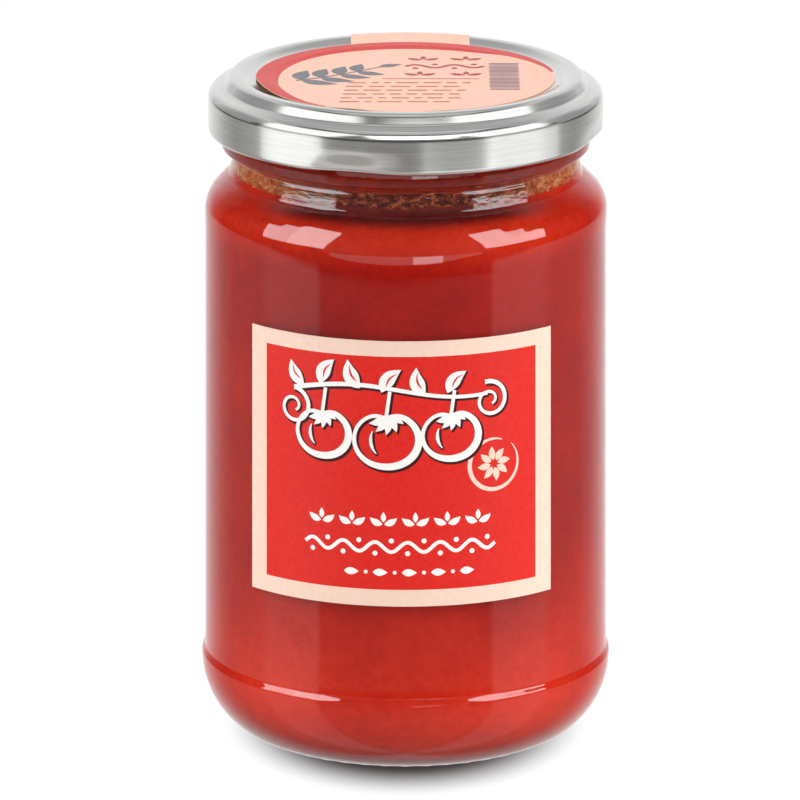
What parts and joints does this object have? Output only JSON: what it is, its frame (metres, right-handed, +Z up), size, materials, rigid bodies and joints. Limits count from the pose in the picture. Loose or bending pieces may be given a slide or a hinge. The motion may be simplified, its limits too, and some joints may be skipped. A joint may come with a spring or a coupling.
{
  "type": "jar of tomato sauce",
  "caption": "Round glass jar filled with tomato sauce, closed by a pressed metal twist-off lid, with a paper label on the front and a paper seal over the lid.",
  "frame": {"origin": "middle of the jar's foot ring, at the height of the surface that it stands on", "axes": "+Z up along the jar's axis; the front label faces -Y and the seal's strip runs over the lid's edge at +Y"},
  "size_m": [0.0696, 0.0696, 0.1143],
  "materials": {
    "jar_glass": "polished",
    "tomato_sauce": "gloss",
    "lid_tinplate": "satin",
    "label_paper": "satin",
    "seal_paper": "satin"
  },
  "bodies": {
    "root": {"glass_jar": "jar_glass", "tomato_sauce": "tomato_sauce", "lid": "lid_tinplate", "front_label": "label_paper", "lid_sticker": "seal_paper"}
  },
  "joints": []
}
